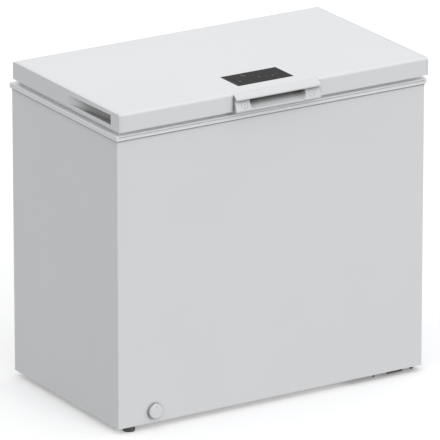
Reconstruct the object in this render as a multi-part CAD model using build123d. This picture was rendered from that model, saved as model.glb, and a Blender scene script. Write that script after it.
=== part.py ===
from build123d import *

import os
from math import cos, radians, sin

# A chest freezer, in millimetres. +Z is up, the front faces -Y, and the origin is on the floor,
# under the middle of the whole object.

# ---------------------------------------------------------------- driving dimensions

cabinet_width = 983
cabinet_depth = 562
body_height = 836          # underside of the cabinet to the top of the collar
foot_height = 16
wall = 60                  # insulated wall, from the outer face to the tank
floor_wall = 60            # insulated floor of the tank
steel = 0.8                # painted steel sheet
liner_sheet = 0.8          # aluminium tank
tank_corner = 12
corner_radius = 2.5        # vertical edges of the steel cabinet
panel_return = 10          # how far the front panel runs round the corner
skin_gap = 0.1             # between pieces that are cased in one another
press_gap = 0.05           # radial clearance of a shaft in its bore
slide_gap = 0.3            # clearance of pieces that slide or lift on each other

bay_width = 240            # compressor bay, inside, at the right-hand end
bay_height = 285
step_wall = 60             # insulation between the bay and the tank

collar_overhang = 5
collar_band = 14
collar_plate = 3
collar_lip_drop = 30
collar_lip = 3
ledge_reach = 10
ledge_thickness = 4
groove_height = 3.6
groove_depth = 2.6
groove_below_top = 2.6
groove_end = 9             # plain stretch of the collar's front beside each corner
collar_corner = 3
seal_height = 4            # sealing strip under the collar, on the outside of the skin
seal_thickness = 1.2

lid_gap = 13.5
lid_thickness = 50.5
lid_front_overhang = 16
lid_back_inset = 9
lid_side_overhang = 2
lid_front_radius = 7
lid_back_radius = 8
lid_liner_sheet = 2.5
end_cap_width = 6.8
end_cap_radius = 2.5
seam_gap = 0.3
lid_plug_drop = 17.5
lid_plug_inset = 92

gasket_width = 16
gasket_inset = 18
gasket_gap = 0.3

scoop_length = 234
scoop_depth = 20
scoop_start = 45
scoop_front_height = 27.5
scoop_back_height = 22.8
scoop_floor_height = 11
scoop_wall = 2

handle_width = 270
handle_reach = 16
handle_drop = 3
handle_recess = 10
handle_lip = 18
handle_edge = 5            # thickness of the lip at its front
pocket_width = 180
pocket_depth = 27
pocket_wall = 3
pocket_low = 5             # lower edge of the pocket above the lid's underside
pocket_high = 38
handle_cap_radius = 9
handle_screw_x = 107
handle_screw_height = 16

glass_width = 177
glass_depth = 94.5
glass_thickness = 3
glass_setback = 50.5
glass_gap = 0.25
housing_depth = 23
housing_wall = 6
post_inset = 18.5          # posts that carry the touch board, in from the glass's edges
post_height = 9
board_inset = 9
board_thickness = 1.6
chip_size = 12
chip_places = (-50, -20, 15, 48)
lamp_width = 90
lamp_depth = 24
lamp_thickness = 6
lamp_setback = 70          # in front of the tank's back wall
lamp_proud = 1.5

hinge_spacing = 700
hinge_pivot_reach = 26     # pivot behind the cabinet's back
hinge_pivot_rise = 9       # pivot above the collar
hinge_pin_radius = 4
bracket_width = 42
bracket_steel = 2
bracket_reach = 34
bracket_height = 150
leaf_width = 32
leaf_steel = 3
knuckle_radius = 7
cam_arm = 13
cam_angle = 40             # arm below the horizontal with the lid shut
cam_radius = 4
cam_gap = 0.6
plunger_radius = 7
stem_radius = 3
spring_radius = 6
spring_wire = 1.6
spring_length = 62
spring_turns = 9
hinge_cover_wall = 2
hinge_reach = 42           # rearmost face of the hinge covers
hinge_cover_drop = 8       # cover below the bracket
bracket_screw_x = 12
bracket_screw_heights = (14, 44)
bracket_screw_length = 22
leaf_height = 44
leaf_low = 2
arm_root = 20              # top of the leaf's arms where they leave the plate
leaf_screw_x = 9
leaf_screw_heights = (16, 36)
leaf_screw_length = 24
screw_radius = 2
screw_head = 4
screw_head_height = 2.5
plunger_head = 5
stem_drop = 25

tube_radius = 4
channel = 5                # half width of the channel that holds a refrigerant tube
evaporator_turns = 6
condenser_passes = 6
coil_rise = 40             # first evaporator turn above the step
coil_margin = 61           # last evaporator turn below the top of the collar
condenser_rise = 45        # first condenser pass above the bay
condenser_margin = 116     # last condenser pass below the top of the collar
condenser_setback = 70     # ends of the side passes before the back
condenser_drop = 35        # the last pass comes down this far before the back
tube_bend = 18
lead_drop = 30             # ends of the tubes below the roof of the bay
lead_gap = 2               # between a coil's turns and the lead that climbs past them
capillary_x = 90           # leads from the inner side of the bay
return_x = 50
condenser_x = 30
crossing = 90              # length of a turn's climb to the next one

drain_x = -377.6
drain_height = 34          # above the underside of the cabinet
drain_setback = 110        # floor drain behind the front
drain_outer = 13
drain_bore = 10
spout_wall = 2.5
spout_length = 62
knob_radius = 20.5
knob_height = 43
knob_thickness = 10
knob_tip_radius = 6
knob_edge = 3.5
knob_hole = 1.3
knob_plug = 14
bushing_proud = 1.5
bushing_flange = 4
plug_radius = 17
plug_thickness = 4
plug_length = 15
plug_tab = 12

foot_radius = 16.5
foot_stem = 4
foot_stem_length = 36
foot_ribs = 18
rib_radius = 1.3
foot_flange = 3            # plain rim at the bottom of a foot
foot_inset = 44.5
foot_back_inset = 15       # further in at the back
foot_front_setback = 19
foot_rear_setback = 40
bay_foot_x = 148           # feet under the bay, from its inner side
bay_foot_setback = 62
stem_hole_gap = 1
nut_size = 24
nut_thickness = 6

base_plate_steel = 2
base_plate_rise = 14
tab_drop = 6.5             # tabs of the base plate that show under the front
tab_steel = 2
tab_setback = 3
tab_spans = ((80, 86), (127, 179), (202, 213))
compressor_radius = 76
compressor_height = 160
compressor_x = 118         # from the inner side of the bay
compressor_setback = 190   # before the back
pot_top_radius = 42
pot_low_radius = 20
pot_seam = 78
leg_reach = 100
leg_width = 28
leg_steel = 4
bolt_x = 85
bolt_y = 50
grommet_radius = 11
grommet_height = 14
grommet_neck = 6
bolt_radius = 3
bolt_head = 7
stub_height = 100
stub_length = 6
stub_x = 20
small_bend = 12
drier_radius = 9
drier_length = 90
drier_setback = 40
drier_drop = 60
capillary_radius = 1.5
relay_reach = 26
relay_rise = 25
relay_height = 47

cover_overlap = 10         # rear cover beyond its opening
cover_flange = 20          # back panel beside the opening, at its outer end
cover_steel = 1
cover_screw_length = 8
vent_rows = 7
vent_columns = 3
vent_pitch = 16
vent_height = 6
vent_length = 54
vent_spacing = 68
gland_radius = 9
gland_bore = 3.6
gland_x = 60
gland_z = 60
box_length = 130           # electronics box in the bay
box_width = 40
box_height = 100
box_setback = 90
box_rise = 120
box_gap = 12               # between the box and the wall it is fixed to

grille_width = 220
grille_height = 180
grille_slats = 9
grille_setback = 60
grille_rise = 60
grille_flange = 8
grille_frame = 6
grille_depth = 8
grille_proud = 2
slat_depth = 9
slat_steel = 2
slat_tilt = 35             # degrees

basket_width = 200
basket_drop = 180
basket_inset = 8
basket_corner = 20
rim_wire = 2.5
mesh_wire = 1.6
wire_bend = 5
cross_wires = 6
long_wires = 9
belt_heights = (60, 120)
grip_length = 64
grip_depth = 14
grip_height = 26
grip_gap = 4

# ---------------------------------------------------------------- planes worked out from them

overall_depth = handle_reach + lid_front_overhang + cabinet_depth + hinge_reach
front_y = -overall_depth / 2 + handle_reach + lid_front_overhang
back_y = front_y + cabinet_depth
middle_y = (front_y + back_y) / 2
side_x = cabinet_width / 2
base_z = foot_height
collar_top = base_z + body_height
lid_bottom = collar_top + lid_gap
lid_top = lid_bottom + lid_thickness
lid_front = front_y - lid_front_overhang
lid_back = back_y - lid_back_inset
lid_x = side_x + lid_side_overhang

tank_x = side_x - wall
tank_front = front_y + wall
tank_back = back_y - wall
tank_floor = base_z + floor_wall
tank_width = 2 * tank_x
tank_depth = tank_back - tank_front

bay_x = side_x - steel - bay_width
bay_top = base_z + bay_height
step_x = bay_x - step_wall
step_top = bay_top + step_wall
foam_top = collar_top - collar_plate - liner_sheet

drain_z = base_z + drain_height
drain_y = front_y + drain_setback

pivot_y = back_y + hinge_pivot_reach
pivot_z = collar_top + hinge_pivot_rise
hinge_places = (-hinge_spacing / 2, hinge_spacing / 2)
cam_y = pivot_y - cam_arm * cos(radians(cam_angle))
cam_z = pivot_z - cam_arm * sin(radians(cam_angle))
plunger_y = pivot_y - cam_arm * (1 + cos(radians(cam_angle))) / 2
plunger_top = cam_z - cam_radius - cam_gap
seat_z = plunger_top - plunger_head - spring_length

foot_places = {
    "front_left": (-side_x + foot_inset, front_y + foot_front_setback),
    "front_right": (bay_x + bay_foot_x, front_y + bay_foot_setback),
    "rear_left": (-side_x + foot_inset + foot_back_inset, back_y - foot_rear_setback),
    "rear_right": (bay_x + bay_foot_x, back_y - bay_foot_setback),
}

evaporator_low = step_top + coil_rise
evaporator_top = collar_top - coil_margin
condenser_low = bay_top + condenser_rise
condenser_top = collar_top - condenser_margin
lead_z = bay_top - lead_drop
coil_back = tank_back + liner_sheet + channel
lead_y = coil_back + 2 * channel + lead_gap
condenser_front = front_y + steel + channel
condenser_right = side_x - steel - channel
condenser_down_y = back_y - condenser_drop

compressor_centre = (bay_x + compressor_x, back_y - compressor_setback)
compressor_foot_z = base_z + base_plate_steel + grommet_height
grille_y = back_y - grille_setback - grille_width
grille_z = base_z + grille_rise


# ---------------------------------------------------------------- shapes used many times

def block(x_span, y_span, z_span):
    """A box between two values on each axis."""
    spans = (x_span, y_span, z_span)
    size = [high - low for low, high in spans]
    middle = [(high + low) / 2 for low, high in spans]
    return Pos(*middle) * Box(*size)


def ring(outer, inner, z_span, corner=0):
    """A rectangular frame lying flat, its outer and inner (width, depth) centred on the cabinet."""
    low, high = z_span
    plane = Plane((0, middle_y, low))
    shape = RectangleRounded(*outer, corner) if corner else Rectangle(*outer)
    return extrude(plane * (shape - Rectangle(*inner)), high - low)


def rod(start, end, radius):
    """A round bar from one point to another."""
    start = Vector(*start)
    run = Vector(*end) - start
    upright = Cylinder(radius, run.length, align=(Align.CENTER, Align.CENTER, Align.MIN))
    return Plane(origin=start, z_dir=run) * upright


def bent_rod(points, radius, bend):
    """A round bar along straight runs joined by arcs."""
    path = FilletPolyline(*points, radius=bend)
    return sweep(Plane(origin=path @ 0, z_dir=path % 0) * Circle(radius), path=path)


def side_sketch(points, radii):
    """A closed outline of (y, z) points with rounded corners, on the plane that faces +X."""
    outline = FilletPolyline(*points, radius=radii, close=True)
    return Plane.YZ * make_face(outline)


def prism_x(sketch, x_span):
    """A side outline made into a solid from one x to another."""
    low, high = x_span
    return Pos(low, 0, 0) * extrude(sketch, high - low)


def screw(head, tip, head_radius, head_height, shank_radius):
    """A pan-head screw, its head lying on the point called head."""
    axis = (Vector(*head) - Vector(*tip)).normalized()
    top = Vector(*head) + axis * head_height
    slot = Plane(origin=top, z_dir=axis) * Box(head_radius * 1.3, 1, head_height)
    return rod(head, tuple(top), head_radius) + rod(tip, head, shank_radius) - slot


nodes = {}


# ---------------------------------------------------------------- tank, insulation and panels

def tank_space(grow):
    """The room inside the tank, down to its floor and beside the step, grown all round."""
    width = tank_width + 2 * grow
    depth = tank_depth + 2 * grow
    plane = Plane((0, middle_y, tank_floor - grow))
    height = collar_top - tank_floor + grow
    room = extrude(plane * RectangleRounded(width, depth, tank_corner + grow), height)
    step = block((step_x + grow, side_x), (front_y, back_y), (base_z, step_top - grow))
    return room - step


def case_inside(z_span):
    """The room inside the steel skin, with its rounded corners."""
    low, high = z_span
    plan = RectangleRounded(cabinet_width - 2 * steel, cabinet_depth - 2 * steel, corner_radius - steel)
    return extrude(Plane((0, middle_y, low)) * plan, high - low)


def bay_space(grow):
    """The compressor bay, grown towards the tank and upwards."""
    return block((bay_x - grow, side_x), (front_y, back_y), (base_z, bay_top + grow))


def evaporator_path():
    """Turns round the tank from the top down, with both ends in the bay."""
    out = liner_sheet + channel
    left, right = -tank_x - out, tank_x + out
    front, back = tank_front - out, coil_back
    start_x = bay_x + capillary_x
    pitch = (evaporator_top - evaporator_low) / (evaporator_turns - 1)
    points = [(start_x, lead_y, lead_z), (start_x, lead_y, evaporator_top), (bay_x, back, evaporator_top)]
    for turn in range(evaporator_turns):
        z = evaporator_top - pitch * turn
        points += [(left, back, z), (left, front, z), (right, front, z), (right, back, z)]
        if turn < evaporator_turns - 1:
            points += [(step_x, back, z), (step_x - crossing, back, z - pitch)]
    points += [(bay_x + return_x, back, evaporator_low), (bay_x + return_x, back, lead_z)]
    return points


def condenser_path():
    """Passes behind the front and side panels from the bottom up, with both ends in the bay."""
    left, right = -condenser_right, condenser_right
    front, rear = condenser_front, back_y - condenser_setback
    start_x = bay_x + condenser_x
    pitch = (condenser_top - condenser_low) / (condenser_passes - 1)
    points = [(start_x, front, lead_z), (start_x, front, condenser_low)]
    points += [(left, front, condenser_low), (left, rear, condenser_low)]
    for number in range(1, condenser_passes):
        z = condenser_low + pitch * number
        near, far = (left, right) if number % 2 else (right, left)
        points += [(near, rear, z), (near, front, z), (far, front, z), (far, rear, z)]
    points[-1] = (points[-1][0], condenser_down_y, condenser_top)
    points += [(points[-1][0], condenser_down_y, lead_z)]
    return points


def room_round(points):
    """Square channels for a tube along these points, with room at each corner for its bend."""
    points = [Vector(*point) for point in points]
    groups = [list(pair) for pair in zip(points, points[1:])]
    for before, corner, after in zip(points, points[1:], points[2:]):
        to_before = (before - corner).normalized() * tube_bend
        to_after = (after - corner).normalized() * tube_bend
        groups.append([corner, corner + to_before, corner + to_after])
    boxes = []
    for group in groups:
        spans = []
        for values in ([v.X for v in group], [v.Y for v in group], [v.Z for v in group]):
            spans.append((min(values) - channel, max(values) + channel))
        boxes.append(block(*spans))
    return boxes


def drain_space(radius):
    """The round way from the tank's floor down and forward to the front panel."""
    down = rod((drain_x, drain_y, drain_z), (drain_x, drain_y, tank_floor), radius)
    forward = rod((drain_x, front_y, drain_z), (drain_x, drain_y, drain_z), radius)
    return down + forward + Pos(drain_x, drain_y, drain_z) * Sphere(radius)


def stem_space(radius, top):
    """Round holes for the feet's stems."""
    holes = [rod((x, y, base_z - 1), (x, y, top), radius) for x, y in foot_places.values()]
    return Compound(children=holes)


def build_panels():
    """The steel skin: front with rounded corners, two sides, back and bottom."""
    height = foam_top - base_z
    plane = Plane((0, middle_y, base_z))
    outside = RectangleRounded(cabinet_width, cabinet_depth, corner_radius)
    z_span = (base_z, foam_top)
    skin = extrude(plane * outside, height) - case_inside(z_span)
    split = front_y + panel_return
    drain_hole = rod((drain_x, front_y - 1, drain_z), (drain_x, split, drain_z), drain_outer + skin_gap)
    nodes["front_panel"] = skin & block((-side_x, side_x), (front_y, split), z_span)
    nodes["front_panel"] -= drain_hole
    rear = back_y - corner_radius
    nodes["left_side_panel"] = skin & block((-side_x, -side_x + steel), (split, rear), z_span)
    right = skin & block((side_x - steel, side_x), (split, rear), z_span)
    nodes["right_side_panel"] = right - grille_opening(0)
    nodes["back_panel"] = skin & block((-side_x, side_x), (rear, back_y), z_span)
    nodes["back_panel"] -= block((bay_x, side_x - cover_flange), (rear - 1, back_y + 1), (base_z, bay_top))
    bottom = case_inside((base_z, base_z + steel)) & block((-side_x, bay_x), (front_y, back_y), z_span)
    nodes["bottom_panel"] = bottom - stem_space(foot_stem + stem_hole_gap, base_z + 2 * steel)


def build_insulation():
    """Foam between the skin and the tank, open at the bay."""
    z_span = (base_z + steel, foam_top)
    foam = case_inside(z_span) - tank_space(liner_sheet) - bay_space(steel)
    foam = foam.cut(*room_round(evaporator_path()), *room_round(condenser_path()))
    foam -= drain_space(drain_outer)
    for x, y in foot_places.values():
        foam -= block((x - nut_size / 2, x + nut_size / 2), (y - nut_size / 2, y + nut_size / 2),
                      (base_z, base_z + steel + nut_thickness))
        foam -= rod((x, y, base_z), (x, y, foot_stem_length + foot_height), foot_stem + 2 * stem_hole_gap)
    nodes["cabinet_insulation"] = foam


def build_liner():
    """The tank's sheet, turned out over the insulation at the top."""
    rim_x = tank_x + tank_corner
    rim = block((-rim_x, rim_x), (tank_front - tank_corner, tank_back + tank_corner),
                (foam_top, foam_top + liner_sheet))
    liner = tank_space(liner_sheet) + rim - tank_space(0)
    liner &= block((-side_x, side_x), (front_y, back_y), (0, foam_top + liner_sheet))
    nodes["inner_liner"] = liner - rod((drain_x, drain_y, base_z), (drain_x, drain_y, collar_top), drain_outer)


def build_collar():
    """The plastic frame that joins the skin to the tank and carries the basket."""
    outer = (cabinet_width + 2 * collar_overhang, cabinet_depth + 2 * collar_overhang)
    skin = (cabinet_width + 2 * skin_gap, cabinet_depth + 2 * skin_gap)
    mouth = (tank_width - 2 * collar_lip, tank_depth - 2 * collar_lip)
    tank = (tank_width - 2 * skin_gap, tank_depth - 2 * skin_gap)
    ledge = (tank_width - 2 * ledge_reach, tank_depth - 2 * ledge_reach)
    plate_z = collar_top - collar_plate
    lip_z = collar_top - collar_lip_drop
    collar = ring(outer, mouth, (plate_z, collar_top), collar_corner)
    collar += ring(outer, skin, (collar_top - collar_band, plate_z), collar_corner)
    top_edges = collar.edges().filter_by_position(Axis.Z, collar_top - 0.01, collar_top + 0.01)
    outer_edges = top_edges.filter_by(lambda edge: max(abs(edge.center().X) / outer[0],
                                                       abs(edge.center().Y - middle_y) / outer[1]) > 0.49)
    collar = fillet(outer_edges, collar_plate - 1)
    collar += ring(tank, mouth, (lip_z, plate_z), tank_corner)
    collar += ring(tank, ledge, (lip_z, lip_z + ledge_thickness), tank_corner)
    groove_top = collar_top - groove_below_top
    outer_front = front_y - collar_overhang
    groove_x = side_x + collar_overhang - groove_end
    collar -= block((-groove_x, groove_x), (outer_front - 1, outer_front + groove_depth),
                    (groove_top - groove_height, groove_top))
    nodes["collar_frame"] = collar
    strip = (cabinet_width + 2 * seal_thickness, cabinet_depth + 2 * seal_thickness)
    strip_top = collar_top - collar_band
    nodes["collar_seal"] = ring(strip, skin, (strip_top - seal_height, strip_top), collar_corner)


def build_coils():
    nodes["evaporator_coil"] = bent_rod(evaporator_path(), tube_radius, tube_bend)
    nodes["condenser_coil"] = bent_rod(condenser_path(), tube_radius, tube_bend)


# ---------------------------------------------------------------- compressor bay

def grille_opening(grow):
    """The hole in the right side panel for the ventilation grille."""
    y_span = (grille_y - grow, grille_y + grille_width + grow)
    z_span = (grille_z - grow, grille_z + grille_height + grow)
    return block((side_x - 2 * grille_depth, side_x + 2 * grille_depth), y_span, z_span)


def build_grille():
    """A moulded frame with sloping slats in the right side panel."""
    through = (side_x - 2 * grille_depth, side_x + 2 * grille_depth)
    frame = grille_opening(-skin_gap)
    frame &= block((side_x - grille_depth, side_x), (front_y, back_y), (base_z, bay_top))
    frame += grille_opening(grille_flange) & block((side_x, side_x + grille_proud), (front_y, back_y),
                                                   (base_z, collar_top))
    frame -= grille_opening(-grille_frame) & block(through, (front_y, back_y), (base_z, bay_top))
    pitch = (grille_height - 2 * grille_frame) / grille_slats
    for number in range(grille_slats):
        z = grille_z + grille_frame + pitch * (number + 0.5)
        size = (slat_depth, grille_width - 2 * grille_frame + 2, slat_steel)
        place = Pos(side_x - grille_depth / 2 + 1, grille_y + grille_width / 2, z)
        frame += place * Rot(0, slat_tilt, 0) * Box(*size)
    reach = block((side_x - grille_depth, side_x + grille_proud), (front_y, back_y), (base_z, bay_top))
    nodes["ventilation_grille"] = frame & reach


def build_base_plate():
    """The steel plate under the compressor, with its edges turned up and tabs under the front."""
    inside = base_z + base_plate_steel
    plate = case_inside((base_z, base_z + base_plate_rise))
    plate &= block((bay_x, side_x), (front_y, back_y), (0, collar_top))
    plate -= block((bay_x + base_plate_steel, side_x), (front_y + steel + base_plate_steel, back_y),
                   (inside, collar_top))
    tab_y = (front_y + tab_setback, front_y + tab_setback + tab_steel)
    for start, end in tab_spans:
        plate += block((bay_x + start, bay_x + end), tab_y, (base_z - tab_drop, base_z))
    for x, y in compressor_legs():
        plate -= rod((x, y, 0), (x, y, inside + 1), bolt_radius + skin_gap)
    nodes["compressor_base_plate"] = plate - stem_space(foot_stem + stem_hole_gap, inside + 1)


def build_rear_cover():
    """The cover over the back of the bay, with vents, screws and the gland for the mains cable."""
    cover_x = (bay_x - cover_overlap, side_x - cover_flange + cover_overlap)
    cover_z = (base_z, bay_top + cover_overlap)
    outer = back_y + cover_steel
    cover = block(cover_x, (back_y, outer), cover_z)
    for row in range(vent_rows):
        z = base_z + bay_height / 2 + row * vent_pitch
        for column in range(vent_columns):
            x = bay_x + 2 * cover_overlap + column * vent_spacing
            cover -= block((x, x + vent_length), (back_y - 1, outer + 1), (z, z + vent_height))
    screws = []
    for x in (cover_x[0] + cover_overlap / 2, cover_x[1] - cover_overlap / 2):
        for z in (cover_z[0] + 3 * cover_overlap, cover_z[1] - cover_overlap / 2):
            tip = (x, back_y - cover_screw_length, z)
            hole = rod(tip, (x, outer + 1, z), 2 + skin_gap)
            cover -= hole
            nodes["back_panel"] -= hole
            nodes["cabinet_insulation"] -= hole
            screws.append(screw((x, outer, z), tip, 4, 2, 2))
    x, z = bay_x + gland_x, base_z + gland_z

    def gland_rod(start, end, radius):
        return rod((x, back_y + start, z), (x, back_y + end, z), radius)

    nodes["rear_bay_cover"] = cover - gland_rod(-1, cover_steel + 1, gland_radius + skin_gap)
    nodes["rear_cover_screws"] = Compound(children=screws)
    gland = gland_rod(-12, cover_steel, gland_radius) + gland_rod(cover_steel, 6, gland_radius + 4)
    nodes["power_inlet_gland"] = gland - gland_rod(-13, 7, gland_bore)


def build_bay():
    """Lining of the compressor bay and the electronics box on it."""
    lining = case_inside((base_z + steel, bay_top + steel))
    lining &= block((bay_x - steel, side_x), (front_y, back_y), (0, collar_top))
    lining -= bay_space(0)
    leads = [
        (bay_x + capillary_x, lead_y),
        (bay_x + return_x, coil_back),
        (bay_x + condenser_x, condenser_front),
        (condenser_right, condenser_down_y),
    ]
    for x, y in leads:
        lining -= rod((x, y, lead_z), (x, y, bay_top + 2 * steel), tube_radius + skin_gap)
    nodes["compressor_bay_lining"] = lining

    box_x = (bay_x + box_gap, bay_x + box_gap + box_width)
    box_y = (front_y + box_setback, front_y + box_setback + box_length)
    box_z = (base_z + box_rise, base_z + box_rise + box_height)
    case = block(box_x, box_y, box_z)
    case = fillet(case.edges().filter_by(Axis.X), 4)
    inset = 20
    case += block((bay_x, box_x[0]), (box_y[0] + inset, box_y[1] - inset), (box_z[0] + inset, box_z[1] - inset))
    nodes["power_control_box"] = case


def compressor_legs():
    """Where the compressor's four feet stand."""
    x, y = compressor_centre
    return [(x + dx, y + dy) for dx in (-bolt_x, bolt_x) for dy in (-bolt_y, bolt_y)]


def build_compressor():
    """The sealed motor compressor on its rubber grommets, with its relay."""
    x, y = compressor_centre
    floor = base_z + base_plate_steel
    foot_z = compressor_foot_z
    pot_z = foot_z + leg_steel - 1
    pot = rod((x, y, pot_z), (x, y, pot_z + compressor_height), compressor_radius)
    pot = fillet(pot.edges().filter_by(GeomType.CIRCLE).sort_by(Axis.Z)[-1], pot_top_radius)
    pot = fillet(pot.edges().filter_by(GeomType.CIRCLE).sort_by(Axis.Z)[0], pot_low_radius)
    seam_z = pot_z + pot_seam
    shell = pot + rod((x, y, seam_z - 2.5), (x, y, seam_z + 2.5), compressor_radius + 3)
    for dy in (-bolt_y, bolt_y):
        leg_span = (y + dy - leg_width / 2, y + dy + leg_width / 2)
        shell += block((x - leg_reach, x + leg_reach), leg_span, (foot_z, foot_z + leg_steel))
    cradle = bolt_y
    shell += block((x - cradle, x + cradle), (y - cradle, y + cradle), (foot_z, foot_z + leg_width))
    port_y = y + compressor_radius + stub_length
    stub_z = pot_z + stub_height
    shell += rod((x - stub_x, y, stub_z), (x - stub_x, port_y, stub_z), tube_radius + 2)
    shell += rod((x + stub_x, y, stub_z), (x + stub_x, port_y, stub_z), tube_radius + 1)
    grommets = []
    bolts = []
    for leg_x, leg_y in compressor_legs():
        def upright(start, end, radius):
            return rod((leg_x, leg_y, start), (leg_x, leg_y, end), radius)

        shell -= upright(foot_z - 1, foot_z + leg_steel + 1, grommet_neck)
        neck_top = foot_z + leg_steel + 2
        grommet = upright(floor, foot_z, grommet_radius) + upright(foot_z, neck_top, grommet_neck - skin_gap)
        grommets.append(grommet - upright(floor - 1, neck_top + 1, bolt_radius + skin_gap))
        bolt = upright(base_z - 3, neck_top + 1, bolt_radius) + upright(neck_top, neck_top + 5, bolt_head)
        bolts.append(bolt + upright(base_z - 4, base_z, bolt_head - 1.5))
    nodes["compressor_shell"] = shell
    nodes["compressor_grommets"] = Compound(children=grommets)
    nodes["compressor_bolts"] = Compound(children=bolts)

    relay_z = pot_z + relay_rise
    relay = block((x - compressor_radius - relay_reach, x - compressor_radius / 2),
                  (y - relay_reach, y + relay_reach), (relay_z, relay_z + relay_height))
    relay = fillet(relay.edges().filter_by(Axis.Z), 6)
    nodes["relay_cover"] = relay - rod((x, y, foot_z), (x, y, bay_top), compressor_radius + slide_gap)


def build_tubes():
    """Refrigerant tubes between the compressor, the coils and the drier."""
    x, y = compressor_centre
    port_y = y + compressor_radius + stub_length
    turn_y = port_y + 34
    stub_z = compressor_foot_z + leg_steel - 1 + stub_height
    suction_z = lead_z - 40
    end_x = bay_x + return_x
    suction = [(x - stub_x, port_y, stub_z), (x - stub_x, turn_y, stub_z), (x - stub_x, turn_y, suction_z),
               (end_x, coil_back, suction_z), (end_x, coil_back, lead_z)]
    nodes["suction_tube"] = bent_rod(suction, tube_radius, small_bend)
    discharge_z = lead_z - 70
    discharge = [(x + stub_x, port_y, stub_z), (x + stub_x, turn_y, stub_z), (x + stub_x, turn_y, discharge_z),
                 (condenser_right, condenser_down_y, discharge_z), (condenser_right, condenser_down_y, lead_z)]
    nodes["discharge_tube"] = bent_rod(discharge, tube_radius - 1, small_bend)

    drier_x, drier_y = bay_x + condenser_x, front_y + drier_setback
    drier_top = lead_z - drier_drop
    drier_low = drier_top - drier_length
    drier = rod((drier_x, drier_y, drier_low), (drier_x, drier_y, drier_top), drier_radius)
    drier = fillet(drier.edges().filter_by(GeomType.CIRCLE), 4)
    inlet = [(drier_x, drier_y, drier_top - 2), (drier_x, drier_y, drier_top + 15),
             (drier_x, condenser_front, lead_z - 24), (drier_x, condenser_front, lead_z)]
    nodes["filter_drier"] = drier + bent_rod(inlet, 3, 4)
    start_x, low = bay_x + capillary_x, drier_low - 30
    capillary = [(drier_x, drier_y, drier_low), (drier_x, drier_y, low), (start_x, drier_y, low),
                 (start_x, drier_y + 40, lead_z - 20), (start_x, lead_y, lead_z - 20), (start_x, lead_y, lead_z)]
    nodes["capillary_tube"] = bent_rod(capillary, capillary_radius, 8)


# ---------------------------------------------------------------- drain and feet

def build_drain():
    """Floor plug, duct, front bushing, sliding spout and its teardrop knob."""
    duct = drain_space(drain_outer) - drain_space(drain_bore)
    duct &= block((-side_x, side_x), (front_y + steel, back_y), (base_z, tank_floor))
    nodes["drain_duct"] = duct
    hole = rod((drain_x, front_y - 5, drain_z), (drain_x, front_y + 30, drain_z), drain_bore)
    proud_y = front_y - bushing_proud
    bushing = rod((drain_x, proud_y, drain_z), (drain_x, front_y, drain_z), drain_outer + bushing_flange)
    bushing += rod((drain_x, front_y, drain_z), (drain_x, front_y + steel, drain_z), drain_outer)
    nodes["drain_bushing"] = bushing - hole

    spout_radius = drain_bore - slide_gap
    bore = spout_radius - spout_wall
    spout = rod((drain_x, proud_y, drain_z), (drain_x, front_y + spout_length, drain_z), spout_radius)
    spout -= rod((drain_x, front_y - 5, drain_z), (drain_x, front_y + spout_length + 5, drain_z), bore)
    nodes["drain_spout_tube"] = spout

    knob_back = proud_y - slide_gap
    low = -knob_height / 2
    centre = low + knob_radius
    plane = Plane(origin=(drain_x, knob_back, drain_z), x_dir=(1, 0, 0), z_dir=(0, -1, 0))
    disc = Pos(0, centre) * Circle(knob_radius)
    point = Pos(0, knob_height / 2 - knob_tip_radius) * Circle(knob_tip_radius)
    teardrop = make_hull(disc.edges() + point.edges())
    knob = extrude(plane * teardrop, knob_thickness)
    front_edges = knob.edges().filter_by_position(Axis.Y, knob_back - knob_thickness - 0.01,
                                                  knob_back - knob_thickness + 0.01)
    knob = fillet(front_edges, knob_edge)
    knob += rod((drain_x, knob_back, drain_z), (drain_x, knob_back + knob_plug, drain_z), bore - press_gap)
    hole_z = drain_z + knob_height / 2 - knob_tip_radius
    knob -= rod((drain_x, knob_back - knob_thickness - 1, hole_z), (drain_x, knob_back - 3, hole_z), knob_hole)
    nodes["drain_knob"] = knob

    plug_top = tank_floor + plug_thickness
    plug = rod((drain_x, drain_y, tank_floor), (drain_x, drain_y, plug_top), plug_radius)
    stopper_low = tank_floor - plug_length
    plug += rod((drain_x, drain_y, stopper_low), (drain_x, drain_y, tank_floor), drain_bore - slide_gap)
    plug += Pos(drain_x, drain_y, plug_top + plug_tab / 2 - 1) * Box(plug_tab + 2, 3, plug_tab)
    nodes["drain_floor_plug"] = plug


def build_feet():
    """Ribbed levelling feet, each with its threaded stem, and the nuts that hold them."""
    nuts = []
    for place, (x, y) in foot_places.items():
        pad = Pos(x, y, 0) * Cylinder(foot_radius, foot_height - slide_gap,
                                      align=(Align.CENTER, Align.CENTER, Align.MIN))
        for rib in range(foot_ribs):
            angle = radians(360 / foot_ribs * rib)
            dx, dy = foot_radius * cos(angle), foot_radius * sin(angle)
            pad -= rod((x + dx, y + dy, foot_flange), (x + dx, y + dy, foot_height), rib_radius)
        pad += rod((x, y, 5), (x, y, foot_height + foot_stem_length), foot_stem)
        nodes["foot_" + place] = pad
        floor = base_z + (steel if x < bay_x else base_plate_steel)
        half = nut_size / 2 - skin_gap
        nut = block((x - half, x + half), (y - half, y + half), (floor, floor + nut_thickness))
        nuts.append(nut - rod((x, y, 0), (x, y, 100), foot_stem + press_gap))
    nodes["foot_nuts"] = Compound(children=nuts)


# ---------------------------------------------------------------- lid

def lid_outline(inset, low):
    """The lid seen from its end: square below, rounded above."""
    front, back, top = lid_front + inset, lid_back - inset, lid_top - inset
    points = [(front, low), (back, low), (back, top), (front, top)]
    return side_sketch(points, [0, 0, lid_back_radius - inset, lid_front_radius - inset])


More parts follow.
